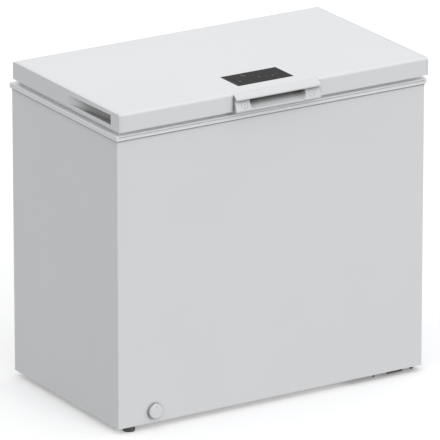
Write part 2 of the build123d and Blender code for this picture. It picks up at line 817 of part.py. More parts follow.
def scoop(side, grow):
    """The finger scoop in the side of the lid: deep at its front end, running out to the rear."""
    face = lid_x + 1
    start, end = lid_front + scoop_start - grow, lid_front + scoop_start + scoop_length + grow
    floor = lid_bottom + scoop_floor_height - grow
    front_top = lid_bottom + scoop_floor_height + scoop_front_height + grow
    back_top = lid_bottom + scoop_floor_height + scoop_back_height + grow
    plan = make_face(Polyline((face, start), (lid_x - scoop_depth - grow, start),
                              (lid_x - scoop_depth - grow, start + 12 + grow), (face, end), close=True))
    wedge = extrude(Plane.XY.offset(floor) * plan, front_top - floor)
    roof = make_face(Polyline((start, floor), (end, floor), (end, back_top), (start, front_top), close=True))
    wedge &= prism_x(Plane.YZ * roof, (lid_x - scoop_depth - 2 * grow, face))
    return wedge if side > 0 else mirror(wedge, about=Plane.YZ)


def handle_box(grow):
    """The part of the handle's pocket that reaches into the lid."""
    half = pocket_width / 2 + pocket_wall + grow
    depth = pocket_depth - handle_reach + pocket_wall + grow
    return block((-half, half), (lid_front - 2, lid_front + depth),
                 (lid_bottom + pocket_low + pocket_wall - grow, lid_bottom + pocket_high + pocket_wall + grow))


def glass_hole(grow, z_span):
    """The rectangle of the control panel, grown all round."""
    front = lid_front + glass_setback - grow
    half = glass_width / 2 + grow
    return block((-half, half), (front, front + glass_depth + 2 * grow), z_span)


def lamp_block(grow, z_span):
    """The lamp in the lid's underside."""
    y = tank_back - lamp_setback
    half_w, half_d = lamp_width / 2 + grow, lamp_depth / 2 + grow
    return block((-half_w, half_w), (y - half_d, y + half_d), z_span)


def lid_plug(inset):
    """The raised field in the middle of the lid's underside."""
    half = lid_x - lid_plug_inset - inset
    front, back = front_y + lid_plug_inset - 2 + inset, back_y - lid_plug_inset + 2 - inset
    low = lid_bottom - lid_plug_drop + inset
    field = block((-half, half), (front, back), (low, lid_bottom + lid_liner_sheet))
    field = fillet(field.edges().filter_by(Axis.Z), 24 - inset)
    bottom = field.edges().filter_by_position(Axis.Z, low - 0.01, low + 0.01)
    return fillet(bottom, 8 - inset)


def leaf_screw_places():
    """Where the screws go through the hinge leaves into the lid's back, as (x, z)."""
    return [(hinge_x + dx, lid_bottom + dz) for hinge_x in hinge_places for dx in (-leaf_screw_x, leaf_screw_x)
            for dz in leaf_screw_heights]


def leaf_holes(radius):
    """Holes for those screws."""
    deep = leaf_screw_length + 2
    return Compound(children=[rod((x, lid_back - deep, z), (x, lid_back + leaf_steel + 1, z), radius)
                              for x, z in leaf_screw_places()])


def handle_holes(radius):
    """Holes for the screws that hold the handle."""
    z = lid_bottom + handle_screw_height
    places = (-handle_screw_x, handle_screw_x)
    return Compound(children=[rod((x, lid_front - 1, z), (x, lid_front + 24, z), radius) for x in places])


def build_lid():
    """Folded steel top, plastic ends with scoops, inner liner, insulation and gasket."""
    seam_x = lid_x - end_cap_width
    sheet_x = (-seam_x + seam_gap, seam_x - seam_gap)
    inner = lid_outline(steel, lid_bottom - 1)
    sheet = prism_x(lid_outline(0, lid_bottom), sheet_x) - prism_x(inner, (-lid_x, lid_x))
    sheet -= glass_hole(glass_gap, (lid_top - 5, lid_top + 1))
    sheet -= handle_box(skin_gap)
    sheet -= handle_holes(2.5) + leaf_holes(2.5)
    nodes["lid_top_sheet"] = sheet

    for side, name in ((-1, "lid_left_end_cap"), (1, "lid_right_end_cap")):
        span = (seam_x, lid_x) if side > 0 else (-lid_x, -seam_x)
        cap = prism_x(lid_outline(0, lid_bottom), span)
        rim = cap.faces().sort_by(Axis.X)[-1 if side > 0 else 0].edges()
        cap = fillet(rim.filter_by(lambda edge: edge.center().Z > lid_bottom + 0.1), end_cap_radius)
        pocket = scoop(side, scoop_wall) & block((-lid_x + 1, lid_x - 1), (-1000, 1000), (0, 2000))
        nodes[name] = cap + pocket - scoop(side, 0)

    flange = block((-seam_x, seam_x), (lid_front + steel, lid_back - steel),
                   (lid_bottom, lid_bottom + lid_liner_sheet))
    liner = flange + lid_plug(0) - lid_plug(lid_liner_sheet)
    liner -= lamp_block(skin_gap, (lid_bottom - lid_plug_drop - 1, lid_bottom))
    nodes["lid_inner_liner"] = liner

    foam_low = lid_bottom + lid_liner_sheet
    foam = prism_x(lid_outline(steel, foam_low), (-seam_x, seam_x)) + lid_plug(lid_liner_sheet)
    foam -= glass_hole(housing_wall, (lid_top - housing_depth, lid_top))
    foam -= handle_box(skin_gap)
    foam -= handle_holes(2.1) + leaf_holes(2.1)
    lamp_low = lid_bottom - lid_plug_drop - 1
    foam -= lamp_block(skin_gap, (lamp_low, lamp_low + lamp_thickness + 2))
    for side in (-1, 1):
        foam -= scoop(side, scoop_wall + skin_gap)
    nodes["lid_insulation"] = foam

    lens_z = lid_bottom - lid_plug_drop
    lens_low = lens_z - lamp_proud
    lens = lamp_block(0, (lens_low, lens_z + lamp_thickness))
    lens_edges = lens.edges().filter_by_position(Axis.Z, lens_low - 0.01, lens_low + 0.01)
    nodes["lamp_lens"] = fillet(lens_edges, 1.2)

    outer = (cabinet_width + 2 * collar_overhang - 2 * gasket_inset,
             cabinet_depth + 2 * collar_overhang - 2 * gasket_inset)
    inside = (outer[0] - 2 * gasket_width, outer[1] - 2 * gasket_width)
    gasket = ring(outer, inside, (collar_top + gasket_gap, lid_bottom), 6)
    nodes["lid_gasket"] = gasket


def handle_outline():
    """The handle from its end: a sloping lip above and a face that leans back up to it."""
    tip = lid_front - handle_reach
    low = lid_bottom - handle_drop
    under = lid_top - handle_lip
    recess = tip + handle_recess
    inner_y = lid_front + lid_front_radius
    outline = [(lid_front, low), (tip + 2, low), (tip, low + 5), (recess, under), (tip, under),
               (tip, under + handle_edge), (inner_y - 2, lid_top), (inner_y, lid_top),
               (inner_y, lid_top - 12), (lid_front, lid_top - 12)]
    return side_sketch(outline, [0, 1.5, 2, 1.5, 1.2, 3, 6, 0, 0, 0])


def pocket_outline():
    """The finger pocket from its end: its floor rises inwards to a back under the lip."""
    tip = lid_front - handle_reach
    under = lid_top - handle_lip
    back = tip + pocket_depth
    low, top = lid_bottom + pocket_low, lid_bottom + pocket_high
    outline = [(tip - 5, low), (tip + 3, low), (back, top - 14), (back, top), (tip + handle_edge, top),
               (tip + handle_edge, under), (tip - 5, under)]
    return side_sketch(outline, [0, 6, 8, 4, 3, 1, 0])


def build_handle():
    """The moulded handle: a lip to pull on, a pocket for the fingers and two capped screws."""
    tip = lid_front - handle_reach
    low = lid_bottom - handle_drop
    under = lid_top - handle_lip
    recess = tip + handle_recess
    half = handle_width / 2
    body = prism_x(handle_outline(), (-half, half))
    body -= prism_x(lid_outline(-skin_gap, low - 5), (-lid_x, lid_x))
    ends = body.edges().filter_by(lambda edge: abs(abs(edge.center().X) - half) < 0.01)
    body = fillet(ends.filter_by(lambda edge: edge.center().Y < tip + 3), 1.2)
    body += handle_box(0)
    body -= prism_x(pocket_outline(), (-pocket_width / 2, pocket_width / 2))
    z = lid_bottom + handle_screw_height
    seat = lid_front - 4
    face = [(tip - 11, low + 5), (tip - 0.5, low + 5), (recess - 0.5, under), (recess - 0.5, lid_top),
            (tip - 11, lid_top)]
    caps = []
    screws = []
    for x in (-handle_screw_x, handle_screw_x):
        cap = rod((x, tip - 5, z), (x, seat - 4, z), handle_cap_radius)
        cap -= prism_x(side_sketch(face, [0] * 5), (x - 2 * handle_cap_radius, x + 2 * handle_cap_radius))
        caps.append(cap)
        body -= rod((x, tip - 5, z), (x, seat, z), handle_cap_radius + press_gap)
        body -= rod((x, tip, z), (x, lid_front + 30, z), 2.5)
        screws.append(screw((x, seat, z), (x, lid_front + 22, z), 4.5, 3, 2))
    nodes["lid_handle"] = body
    nodes["handle_screw_caps"] = Compound(children=caps)
    nodes["handle_screws"] = Compound(children=screws)


def build_controls():
    """Flush glass over a tray that holds the touch board."""
    glass = glass_hole(0, (lid_top - glass_thickness, lid_top))
    nodes["control_glass"] = glass
    low = lid_top - housing_depth
    tray = glass_hole(housing_wall - skin_gap, (low, lid_top - steel))
    tray -= glass_hole(glass_gap, (lid_top - glass_thickness, lid_top))
    tray -= glass_hole(-glass_thickness, (low + 2, lid_top))
    front = lid_front + glass_setback
    post_x = glass_width / 2 - post_inset
    board_z = low + post_height
    for x in (-post_x, post_x):
        for y in (front + post_inset, front + glass_depth - post_inset):
            tray += rod((x, y, low + 1), (x, y, board_z), 3)
    nodes["control_housing"] = tray
    board = glass_hole(-board_inset, (board_z, board_z + board_thickness))
    chip_low = board_z + board_thickness
    chip_y = (front + 3 * chip_size, front + 4 * chip_size)
    for x in chip_places:
        board += block((x, x + chip_size), chip_y, (chip_low, chip_low + 2))
    nodes["control_board"] = board


# ---------------------------------------------------------------- hinges

def side_shape(points):
    """A straight-edged outline of (y, z) points on the plane that faces +X."""
    return Plane.YZ * make_face(Polyline(*points, close=True))


def over_collar(grow):
    """The room that the collar and its seal need at the back, kept clear by the hinges."""
    low = collar_top - collar_band - seal_height - 1
    return block((-side_x, side_x), (back_y - 1, back_y + collar_overhang + grow), (low, lid_top))


def build_bracket(x):
    """The channel on the cabinet's back that carries a hinge's pin, spring and plunger."""
    half = bracket_width / 2
    low = pivot_z - bracket_height
    bracket = block((x - half, x + half), (back_y, back_y + bracket_reach), (low, pivot_z + knuckle_radius))
    bracket -= block((x - half + bracket_steel, x + half - bracket_steel),
                     (back_y + bracket_steel, back_y + bracket_reach + 1), (low - 1, lid_top))
    bracket -= over_collar(1.5)
    far_y, cut_z = pivot_y + bracket_reach, pivot_z - knuckle_radius / 2
    above = side_shape([(back_y, cut_z), (far_y, cut_z), (far_y, lid_top), (back_y, lid_top)])
    above -= Plane.YZ * (Pos(pivot_y, pivot_z) * Circle(knuckle_radius + 1))
    bracket -= prism_x(above, (x - half - 1, x + half + 1))
    guide_y = (back_y + bracket_steel, back_y + bracket_reach - 6)
    guide = block((x - half, x + half), guide_y, (seat_z - 3, seat_z))
    guide -= rod((x, plunger_y, seat_z - 4), (x, plunger_y, seat_z + 1), stem_radius + press_gap)
    bracket += guide
    return bracket - rod((x - half - 1, pivot_y, pivot_z), (x + half + 1, pivot_y, pivot_z), hinge_pin_radius)


def build_leaf(x):
    """The lid's half of a hinge: a plate, two ears round the pin and a bar that presses the plunger."""
    ear = leaf_width / 2
    low = lid_bottom + leaf_low
    leaf = block((x - ear, x + ear), (lid_back, lid_back + leaf_steel), (low, lid_bottom + leaf_height))
    root = lid_bottom + arm_root
    arm = side_shape([(lid_back, low), (pivot_y, pivot_z - knuckle_radius + 0.5),
                      (pivot_y, pivot_z + knuckle_radius), (lid_back + leaf_steel, root), (lid_back, root)])
    web = Plane.YZ * make_hull((Pos(pivot_y, pivot_z) * Circle(knuckle_radius - 1)).edges()
                               + (Pos(cam_y, cam_z) * Circle(cam_radius)).edges())
    for span in ((x - ear, x - ear + leaf_steel), (x + ear - leaf_steel, x + ear)):
        leaf += prism_x(arm, span) + prism_x(web, span)
        leaf += rod((span[0], pivot_y, pivot_z), (span[1], pivot_y, pivot_z), knuckle_radius)
    leaf += rod((x - ear, cam_y, cam_z), (x + ear, cam_y, cam_z), cam_radius)
    bore = rod((x - ear - 1, pivot_y, pivot_z), (x + ear + 1, pivot_y, pivot_z), hinge_pin_radius + press_gap)
    return leaf - leaf_holes(screw_radius + skin_gap) - bore


def build_hinge_cover(x):
    """The plastic cover over a bracket, open at the top where the leaf moves."""
    half = bracket_width / 2 + hinge_cover_wall + 2
    low = pivot_z - bracket_height - hinge_cover_drop
    outer_y = back_y + hinge_reach
    cover = block((x - half, x + half), (back_y, outer_y), (low, pivot_z - 3))
    corners = cover.edges().filter_by(Axis.Z).filter_by(lambda edge: edge.center().Y > outer_y - 1)
    cover = fillet(corners, 5)
    cover -= block((x - half + hinge_cover_wall, x + half - hinge_cover_wall),
                   (back_y - 1, outer_y - hinge_cover_wall), (low + hinge_cover_wall, lid_top))
    return cover - over_collar(1)


def build_spring(x):
    """The coil spring under a plunger."""
    length = spring_length - spring_wire
    coil = Helix(length / spring_turns, length, spring_radius)
    wire = sweep(Plane(origin=coil @ 0, z_dir=coil % 0) * Circle(spring_wire / 2), path=coil, is_frenet=True)
    return Pos(x, plunger_y, seat_z + spring_wire / 2) * wire


def build_plunger(x):
    """The plunger between a spring and its leaf, with a stem that runs in the bracket's guide."""
    head_low = plunger_top - plunger_head
    head = rod((x, plunger_y, head_low), (x, plunger_y, plunger_top), plunger_radius)
    return head + rod((x, plunger_y, seat_z - stem_drop), (x, plunger_y, head_low), stem_radius)


def build_hinges():
    """Two spring hinges and the screws that hold them to the cabinet and the lid."""
    half = bracket_width / 2 + 1
    pins = []
    for x in hinge_places:
        pins.append(rod((x - half, pivot_y, pivot_z), (x + half, pivot_y, pivot_z), hinge_pin_radius))
    nodes["hinge_brackets"] = Compound(children=[build_bracket(x) for x in hinge_places])
    nodes["hinge_pins"] = Compound(children=pins)
    nodes["hinge_leaves"] = Compound(children=[build_leaf(x) for x in hinge_places])
    nodes["hinge_covers"] = Compound(children=[build_hinge_cover(x) for x in hinge_places])
    nodes["hinge_plungers"] = Compound(children=[build_plunger(x) for x in hinge_places])
    nodes["hinge_springs"] = Compound(children=[build_spring(x) for x in hinge_places])
    screws = []
    for hinge_x in hinge_places:
        for dx in (-bracket_screw_x, bracket_screw_x):
            for rise in bracket_screw_heights:
                x, z = hinge_x + dx, pivot_z - bracket_height + rise
                tip = (x, back_y - bracket_screw_length, z)
                hole = rod(tip, (x, back_y + bracket_steel + 1, z), screw_radius + skin_gap)
                for name in ("hinge_brackets", "back_panel", "cabinet_insulation"):
                    nodes[name] -= hole
                seat = (x, back_y + bracket_steel, z)
                screws.append(screw(seat, tip, screw_head, screw_head_height, screw_radius))
    nodes["hinge_screws"] = Compound(children=screws)
    screws = []
    for x, z in leaf_screw_places():
        tip = (x, lid_back - leaf_screw_length, z)
        seat = (x, lid_back + leaf_steel, z)
        screws.append(screw(seat, tip, screw_head, screw_head_height, screw_radius))
    nodes["leaf_screws"] = Compound(children=screws)


# ---------------------------------------------------------------- basket

def closed_wire(x_span, y_span, z, corner, radius):
    """A rectangular loop of wire lying flat."""
    (left, right), (front, back) = x_span, y_span
    loop = FilletPolyline((left, front, z), (right, front, z), (right, back, z), (left, back, z),
                          radius=corner, close=True)
    return sweep(Plane(origin=loop @ 0, z_dir=loop % 0) * Circle(radius), path=loop)


def evenly(low, high, count):
    """Values spread evenly from low to high."""
    return [low + (high - low) * number / (count - 1) for number in range(count)]


def build_basket():
    """A wire basket that hangs on the collar's ledge over the step, with two plastic grips."""
    ledge_z = collar_top - collar_lip_drop + ledge_thickness
    rim_z = ledge_z + slide_gap + rim_wire
    right = tank_x - ledge_reach - basket_inset
    left = right - basket_width
    rim_front = tank_front + collar_lip + slide_gap + rim_wire
    rim_back = tank_back - collar_lip - slide_gap - rim_wire
    front, back = tank_front + ledge_reach + basket_inset, tank_back - ledge_reach - basket_inset
    low = rim_z - basket_drop
    basket = closed_wire((left, right), (rim_front, rim_back), rim_z, basket_corner, rim_wire)
    for x in evenly(left + basket_corner + 5, right - basket_corner - 5, cross_wires):
        hoop = [(x, rim_front, rim_z), (x, front, rim_z), (x, front, low), (x, back, low), (x, back, rim_z),
                (x, rim_back, rim_z)]
        basket += bent_rod(hoop, mesh_wire, wire_bend)
    floor = low + mesh_wire
    for y in evenly(front + basket_corner + 2, back - basket_corner - 2, long_wires):
        hoop = [(left, y, rim_z), (left, y, floor), (right, y, floor), (right, y, rim_z)]
        basket += bent_rod(hoop, mesh_wire, wire_bend)
    for height in belt_heights:
        basket += closed_wire((left, right), (front, back), low + height, basket_corner * 0.6, mesh_wire)
    nodes["basket_wire"] = basket
    middle = (left + right) / 2
    grips = []
    for y in (front + grip_gap, back - grip_gap - grip_depth):
        grip = block((middle - grip_length / 2, middle + grip_length / 2), (y, y + grip_depth),
                     (rim_z - grip_gap - grip_height, rim_z - grip_gap))
        grips.append(fillet(grip.edges().filter_by(Axis.Y), 6))
    nodes["basket_grips"] = Compound(children=grips)


build_panels()
build_insulation()
build_liner()
build_collar()
build_coils()
build_grille()
build_base_plate()
build_rear_cover()
build_bay()
build_compressor()
build_tubes()
build_drain()
build_feet()
build_lid()
build_handle()
build_controls()
build_hinges()
build_basket()

os.makedirs("parts", exist_ok=True)
for name, shape in nodes.items():
    export_step(shape, f"parts/{name}.step")
print(len(nodes), "nodes written")
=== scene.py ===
# %% [markdown]
# This lesson finishes a chest freezer: a box of painted steel over foam, with a lid that tips up on
# two spring hinges. The engineering pieces come ready made in model.glb. Loading them first
# fixes every place and size, so that the work here can be about surfaces, edges and light.

# %% Start from the imported model
from math import cos, pi, radians, sin

import bmesh
import bpy
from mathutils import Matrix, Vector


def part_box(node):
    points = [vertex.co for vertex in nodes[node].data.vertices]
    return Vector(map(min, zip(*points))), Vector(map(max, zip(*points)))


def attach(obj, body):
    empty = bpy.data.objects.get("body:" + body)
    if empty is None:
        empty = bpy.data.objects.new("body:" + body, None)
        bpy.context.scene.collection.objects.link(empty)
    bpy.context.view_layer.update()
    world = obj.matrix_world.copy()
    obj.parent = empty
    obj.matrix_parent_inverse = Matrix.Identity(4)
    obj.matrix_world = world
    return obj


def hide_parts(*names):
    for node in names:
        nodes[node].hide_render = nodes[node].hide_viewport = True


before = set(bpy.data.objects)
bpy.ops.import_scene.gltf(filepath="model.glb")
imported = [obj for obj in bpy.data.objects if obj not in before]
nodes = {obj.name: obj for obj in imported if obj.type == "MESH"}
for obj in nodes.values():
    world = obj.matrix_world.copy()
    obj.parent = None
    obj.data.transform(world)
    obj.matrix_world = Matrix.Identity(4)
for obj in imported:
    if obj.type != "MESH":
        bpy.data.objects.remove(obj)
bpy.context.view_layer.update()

# %% [markdown]
# Everything below works in metres, in the same frame as the design: +Z up, the front faces -Y.
# Small shapes are easier to think about in millimetres, so they are written that way and multiplied
# by MM. Places come from the boxes of the designed nodes, so nothing has to be fitted by eye. These
# few short helpers read a box and give a corner of it.

# %% Boxes of the designed nodes
MM = 0.001


def low(node, axis):
    """The lowest value of a node on one axis, where 0 is X, 1 is Y and 2 is Z."""
    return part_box(node)[0][axis]


def high(node, axis):
    """The highest value of a node on one axis."""
    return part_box(node)[1][axis]


lid_front = low("lid_top_sheet", 1)
lid_bottom = low("lid_left_end_cap", 2)
lid_top = high("lid_top_sheet", 2)
print("lid from", round(lid_bottom, 4), "to", round(lid_top, 4))

# %% [markdown]
# A procedural material is a small graph of nodes. Nearly every finish here needs the same two things:
# a colour that isn't quite even and a surface that isn't quite flat. One helper makes that graph, and
# each finish below calls it with its own colours, roughness and grain. Two noise textures do the
# work: a large one chooses between the two colours, and a fine one feeds a Bump node. Anything that
# is the same all over goes straight onto the shader's own sockets, which keeps the graph short.

# %% A helper that makes a finish
finishes = {}
blotch_detail = 5.0
grain_detail = 3.0
blend_start = 0.35
blend_end = 0.65


def shader_of(material):
    """The shader that every finish ends in."""
    return material.node_tree.nodes["Principled BSDF"]


def grey(value, tint=0.0):
    """A grey, a little bluer for a positive tint and a little warmer for a negative one."""
    return (value * (1 - tint), value, value * (1 + tint))


def finish(name, colour, other, roughness, metallic=0.0, patch=8, grain=900, depth=0.02):
    """A finish that drifts between two colours, with a fine grain whose depth is in millimetres."""
    material = bpy.data.materials.new(name + "_finish")
    material.use_nodes = True
    tree = material.node_tree
    shader = shader_of(material)
    shader.inputs["Roughness"].default_value = roughness
    shader.inputs["Metallic"].default_value = metallic
    place = tree.nodes.new("ShaderNodeTexCoord")
    drift = tree.nodes.new("ShaderNodeTexNoise")
    drift.inputs["Scale"].default_value = patch
    drift.inputs["Detail"].default_value = blotch_detail
    tree.links.new(place.outputs["Object"], drift.inputs["Vector"])
    ramp = tree.nodes.new("ShaderNodeValToRGB")
    ramp.name = "Colours"
    first, second = ramp.color_ramp.elements
    first.position = blend_start
    first.color = (*colour, 1.0)
    second.position = blend_end
    second.color = (*other, 1.0)
    tree.links.new(drift.outputs["Fac"], ramp.inputs["Fac"])
    tree.links.new(ramp.outputs["Color"], shader.inputs["Base Color"])
    fine = tree.nodes.new("ShaderNodeTexNoise")
    fine.inputs["Scale"].default_value = grain
    fine.inputs["Detail"].default_value = grain_detail
    tree.links.new(place.outputs["Object"], fine.inputs["Vector"])
    bump = tree.nodes.new("ShaderNodeBump")
    bump.inputs["Distance"].default_value = depth * MM
    tree.links.new(fine.outputs["Fac"], bump.inputs["Height"])
    tree.links.new(bump.outputs["Normal"], shader.inputs["Normal"])
    finishes[name] = material
    return material


print("one helper for every finish")

# %% [markdown]
# Where two pale pieces meet, the joint looks darker than either of them, because light hardly gets
# into a crease. The Ambient Occlusion node measures how much of the space near a point is open. A
# Map Range node turns that into a factor, from dark for a closed corner to 1 for an open face, and
# the factor is multiplied into the finish's colour, so that this crease shade is painted into the
# colour itself. Thin seams between white parts stay visible this way even under very soft light.

# %% A helper that paints shade into creases
crease_rays = 8


def paint_crease_shade(name, reach, darkest, closed=0.25, open_space=0.9):
    """Paints shade into a finish's colour where other surfaces come within a reach given in millimetres."""
    tree = finishes[name].node_tree
    base = shader_of(finishes[name]).inputs["Base Color"]
    colour = base.links[0].from_socket
    openness = tree.nodes.new("ShaderNodeAmbientOcclusion")
    openness.inputs["Distance"].default_value = reach * MM
    openness.samples = crease_rays
    shade = tree.nodes.new("ShaderNodeMapRange")
    shade.inputs["From Min"].default_value = closed
    shade.inputs["From Max"].default_value = open_space
    shade.inputs["To Min"].default_value = darkest
    tree.links.new(openness.outputs["AO"], shade.inputs["Value"])
    mix = tree.nodes.new("ShaderNodeMix")
    mix.data_type = "RGBA"
    mix.blend_type = "MULTIPLY"
    mix.inputs["Factor"].default_value = 1.0
    tree.links.new(colour, mix.inputs["A"])
    tree.links.new(shade.outputs["Result"], mix.inputs["B"])
    tree.links.new(mix.outputs["Result"], base)


print("creases use", crease_rays, "rays")

# %% [markdown]
# The cabinet and the lid's top are steel sheet with a white powder coat. Sprayed powder melts into
# a skin with a very fine orange-peel texture, so the grain is shallow and the gloss half soft. The
# plastic pieces beside it are moulded in nearly the same white, a touch rougher. Keeping the whites
# only a hair apart makes the pieces read as one appliance made from different materials. The handle
# is painted a shade greyer, with the deepest painted crease shade, for the shade under its lip. The
# collar is painted a lighter white for light reaching the gap under the lid, and its painted crease
# shade reaches only as far as its groove is wide.

# %% Painted steel and white plastics
finish("white_enamel_steel", grey(0.80, 0.008), grey(0.79, 0.008), 0.38, patch=3, grain=420, depth=0.03)
finish("white_plastic", grey(0.80, 0.006), grey(0.785, 0.006), 0.42, patch=6, grain=1600, depth=0.02)
# Painted shade: the handle's white is greyer to stand for the shade under its lip.
finish("handle_plastic_with_painted_shade", grey(0.745, 0.006), grey(0.73, 0.006), 0.42, patch=6, grain=1600, depth=0.02)
# Painted light: the collar's white is lighter to stand for light reaching the gap under the lid.
finish("collar_plastic_with_painted_light", grey(0.88, 0.006), grey(0.865, 0.006), 0.42, patch=6, grain=1600, depth=0.02)
finish("gasket_vinyl", grey(0.84, 0.005), grey(0.81), 0.55, patch=30, grain=700, depth=0.03)
finish("lamp_plastic", grey(0.85, 0.01), grey(0.82, 0.01), 0.3, patch=40, grain=500, depth=0.05)
finish("coated_wire", grey(0.80, 0.006), grey(0.77, 0.006), 0.25, patch=30, grain=900, depth=0.02)
# Painted shade: these calls darken the colours of the white finishes in their creases.
paint_crease_shade("white_enamel_steel", 16, 0.20, closed=0.35)
paint_crease_shade("white_plastic", 30, 0.30)
paint_crease_shade("handle_plastic_with_painted_shade", 32, 0.06, closed=0.36, open_space=0.93)
paint_crease_shade("collar_plastic_with_painted_light", 4, 0.30, closed=0.2, open_space=0.75)
print("white finishes:", sorted(finishes))

# %% [markdown]
# Feet, grommets and the drain plug are rubber or rubbery plastic: dark, rough and a little blotchy
# where hands and floor have touched them. The control panel is a sheet of black glass. Glass has no
# colour of its own to speak of, so its base is almost black and what it shows is mostly reflection;
# an anti-glare coat weakens that reflection, which a low index of refraction stands for.
# The foam inside the walls is yellow-brown and bubbly, which takes a coarser grain with real depth.

# %% Rubbers, dark plastics, glass and foam
coated_glass_index = 1.1
finish("seal_foam", grey(0.36), grey(0.32), 0.8, patch=60, grain=1500, depth=0.08)
finish("grey_plastic", grey(0.30, 0.01), grey(0.27, 0.01), 0.45, patch=30, grain=1500, depth=0.03)
finish("black_plastic", grey(0.022), grey(0.03), 0.5, patch=30, grain=1200, depth=0.04)
finish("foot_plastic", grey(0.07), grey(0.12), 0.55, patch=120, grain=1200, depth=0.04)
finish("black_rubber", grey(0.022), grey(0.045), 0.7, patch=60, grain=900, depth=0.08)
finish("grey_rubber", grey(0.20), grey(0.25), 0.65, patch=40, grain=900, depth=0.06)
finish("rigid_foam", (0.80, 0.70, 0.42), (0.70, 0.58, 0.32), 0.8, patch=25, grain=300, depth=0.4)
finish("black_enamel_steel", grey(0.018), grey(0.026), 0.3, patch=20, grain=400, depth=0.05)
finish("black_glass", grey(0.006, 0.01), grey(0.009, 0.01), 0.12, patch=10, grain=60, depth=0.004)
shader_of(finishes["black_glass"]).inputs["IOR"].default_value = coated_glass_index
finish("green_board", (0.02, 0.14, 0.05), (0.03, 0.18, 0.06), 0.4, patch=90, grain=900, depth=0.03)
print(len(finishes), "finishes so far")

# %% [markdown]
# The back, the underside and the small fittings are bare metal. Zinc coating dries in flat crystals
# called spangles, so the galvanised sheet gets a colour that changes every centimetre. The tank is
# aluminium pressed with a pebble pattern that hides scratches: the same noise, coarser, and with
# enough depth to catch light. A metal takes its colour from its reflections, so Metallic is near 1,
# but lower for the tank, whose bright coat looks half way to paint, and for the painted tubes.

# %% Metals
finish("galvanised_steel", grey(0.55), grey(0.585), 0.45, 0.85, patch=70, grain=350, depth=0.02)
finish("embossed_aluminium", grey(0.82), grey(0.86), 0.45, 0.6, patch=20, grain=300, depth=0.2)
finish("tube_aluminium", grey(0.6), grey(0.68), 0.35, 0.95, patch=60, grain=600, depth=0.03)
finish("tube_steel", grey(0.05), grey(0.08), 0.4, 0.2, patch=60, grain=600, depth=0.04)
finish("zinc_steel", grey(0.62), grey(0.7), 0.3, 0.95, patch=120, grain=800, depth=0.02)
finish("spring_steel", grey(0.3), grey(0.38), 0.35, 0.95, patch=150, grain=900, depth=0.02)
finish("copper", (0.72, 0.36, 0.22), (0.50, 0.22, 0.12), 0.3, 0.95, patch=40, grain=700, depth=0.02)
print(len(finishes), "finishes in all")

# %% [markdown]
# Each designed node arrives with a plain material named after its slot, such as white_plastic. The
# loop swaps that for the finish of the same name, so a node added to the design later is covered too.
# A few nodes then get a finish of their own. The collar and the lid's lining face each other across
# a narrow gap and share the collar's lighter white, painted light for light reaching into that gap.
# The plate under the compressor gets black painted steel, and the feet are a scuffed dark grey.

# %% Give every designed node its finish
for node in nodes.values():
    for place in node.material_slots:
        place.material = finishes[place.material.name]

# The collar and the lid's lining get the lighter white, painted light for the gap between them.
own_finish = {"collar_frame": "collar_plastic_with_painted_light", "lid_inner_liner": "collar_plastic_with_painted_light",
              "compressor_base_plate": "black_enamel_steel"}
for corner in ("front_left", "front_right", "rear_left", "rear_right"):
    own_finish["foot_" + corner] = "foot_plastic"
for node_name, finish_name in own_finish.items():
    nodes[node_name].material_slots[0].material = finishes[finish_name]
print(len(nodes), "nodes have a finish,", len(own_finish), "of them their own")

# %% [markdown]
# Some pieces deserve a better surface than the design gives them: the handle, its screw caps and the
# gasket. All three can be drawn as a row of closed rings of points with skin stretched between them,
# which Blender calls bridging. It beats stacking cubes and cylinders, because one outline carries
# all the roundings. The first helper turns sharp corners into short curves, and the second spreads
# points evenly along a line, so that two different outlines can be blended point by point.

# %% Helpers for outlines
tiny = 1e-9


def rounded(points, radii, steps=6):
    """An open outline whose corners with a radius become short curves."""
    result = []
    for number, (corner, radius) in enumerate(zip(points, radii)):
        if radius == 0:
            result.append(corner)
            continue
        sides = []
        for other in (points[number - 1], points[(number + 1) % len(points)]):
            run = [other[0] - corner[0], other[1] - corner[1]]
            length = max((run[0] ** 2 + run[1] ** 2) ** 0.5, tiny)
            share = min(radius / length, 0.5)
            sides.append((corner[0] + run[0] * share, corner[1] + run[1] * share))
        for step in range(steps + 1):
            t = step / steps
            result.append(tuple((1 - t) ** 2 * a + 2 * t * (1 - t) * c + t ** 2 * b
                                for a, c, b in zip(sides[0], corner, sides[1])))
    return result


def spread(points, count):
    """The same line drawn with this many evenly spread points."""
    lengths = [0.0]
    for before, after in zip(points, points[1:]):
        step = ((after[0] - before[0]) ** 2 + (after[1] - before[1]) ** 2) ** 0.5
        lengths.append(lengths[-1] + step)
    result = []
    piece = 0
    for number in range(count):
        goal = lengths[-1] * number / (count - 1)
        while piece < len(points) - 2 and lengths[piece + 1] < goal:
            piece += 1
        t = (goal - lengths[piece]) / max(lengths[piece + 1] - lengths[piece], tiny)
        result.append(tuple(a + (b - a) * t for a, b in zip(points[piece], points[piece + 1])))
    return result


print("outline helpers ready")

# %% [markdown]
# The next helpers make objects. One stretches skin over a row of rings. One turns a finished bmesh
# into an object: shaded smooth except where faces meet at more than 32 degrees, with its finish, and
# riding on the body that carries it, so that it follows the lid when the lid opens. The last one is
# the drill: it takes one object's shape out of another with a Boolean modifier. The modifier is
# applied at once, so that the piece stays a single clean mesh.

# %% Helpers for pieces
sharp_angle = radians(32)


def as_piece(name, skin, finish_name, body):
    """Makes an object of a bmesh, smooth except at its edges, and lets it ride on a body."""
    mesh = bpy.data.meshes.new(name)
    skin.to_mesh(mesh)
    skin.free()
    for face in mesh.polygons:
        face.use_smooth = True
    mesh.set_sharp_from_angle(angle=sharp_angle)
    mesh.materials.append(finishes[finish_name])
    piece = bpy.data.objects.new(name, mesh)
    bpy.context.scene.collection.objects.link(piece)
    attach(piece, body)
    return piece


